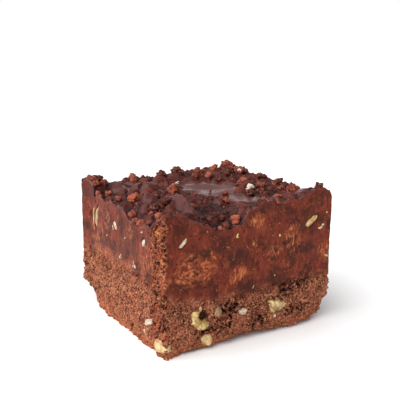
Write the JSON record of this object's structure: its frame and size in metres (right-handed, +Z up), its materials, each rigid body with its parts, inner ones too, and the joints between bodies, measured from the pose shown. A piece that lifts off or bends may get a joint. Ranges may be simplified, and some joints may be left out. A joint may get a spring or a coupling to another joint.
{
  "type": "brownie",
  "caption": "Cut square of nut brownie: a crumbly base, a thick fudge layer and a chocolate glaze strewn with baked crumbs, with nut pieces in the cut faces.",
  "frame": {"origin": "middle of the footprint's box, on the ground that the square stands on", "axes": "+X along the front cut from its left edge to its right edge, +Y from the front cut to the back cut, +Z up"},
  "size_m": [0.0615, 0.0601, 0.046],
  "materials": {
    "baked_crumb": "matte, porous and crumbly",
    "fudge": "smooth cut with a soft sheen",
    "glaze": "satin chocolate with matte baked crumbs",
    "nut": "pale, slightly waxy"
  },
  "bodies": {
    "root": {"crumb_base": "baked_crumb", "fudge_layer": "fudge", "chocolate_glaze": "glaze", "walnut_curled": "nut", "walnut_front": "nut", "nut_front_foot": "nut", "nut_front_pale": "nut", "nut_front_faint": "nut", "nut_corner": "nut", "nut_left_white": "nut", "almond_front": "nut", "sliver_front": "nut", "sliver_left_long": "nut", "sliver_left_high": "nut", "sliver_left_mid": "nut", "walnut_back": "nut", "nut_back": "nut", "almond_back": "nut", "walnut_right": "nut", "nut_right_pale": "nut", "sliver_right": "nut"}
  },
  "joints": []
}
